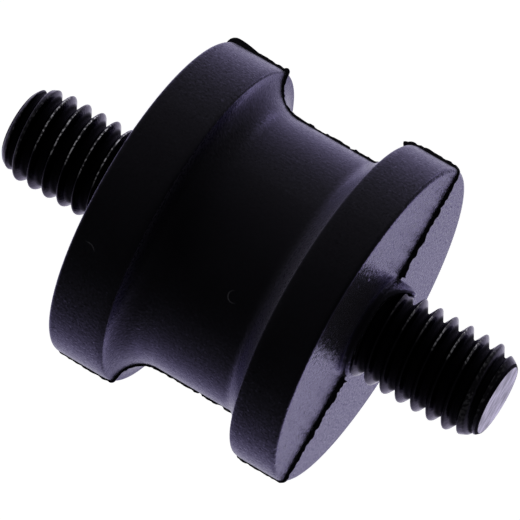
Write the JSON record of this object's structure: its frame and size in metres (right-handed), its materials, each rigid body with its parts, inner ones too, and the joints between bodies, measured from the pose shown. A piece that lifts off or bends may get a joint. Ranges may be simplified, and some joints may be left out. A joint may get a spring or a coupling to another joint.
{
  "type": "rubber vibration mount",
  "caption": "Waisted rubber vibration mount with a buried steel plate and a threaded stud at each end, for carrying a battery tray or other equipment on a bracket.",
  "frame": {"origin": "middle of the rubber body, on its axis, halfway between the two end faces", "axes": "+Z along the axis to the upper stud, at the flange with the narrower rim; the mould's parting plane is XZ"},
  "size_m": [0.0204, 0.02, 0.0317],
  "materials": {
    "rubber": "matte black moulded rubber with a fine mould grain and a parting line",
    "stud_steel": "black oxide steel with rolled thread flanks and bright worn crests",
    "plate_steel": "blasted grey steel, bonded inside the rubber"
  },
  "bodies": {
    "root": {"rubber_body": "rubber", "upper_plate": "plate_steel", "lower_plate": "plate_steel", "upper_stud": "stud_steel", "lower_stud": "stud_steel"}
  },
  "joints": []
}
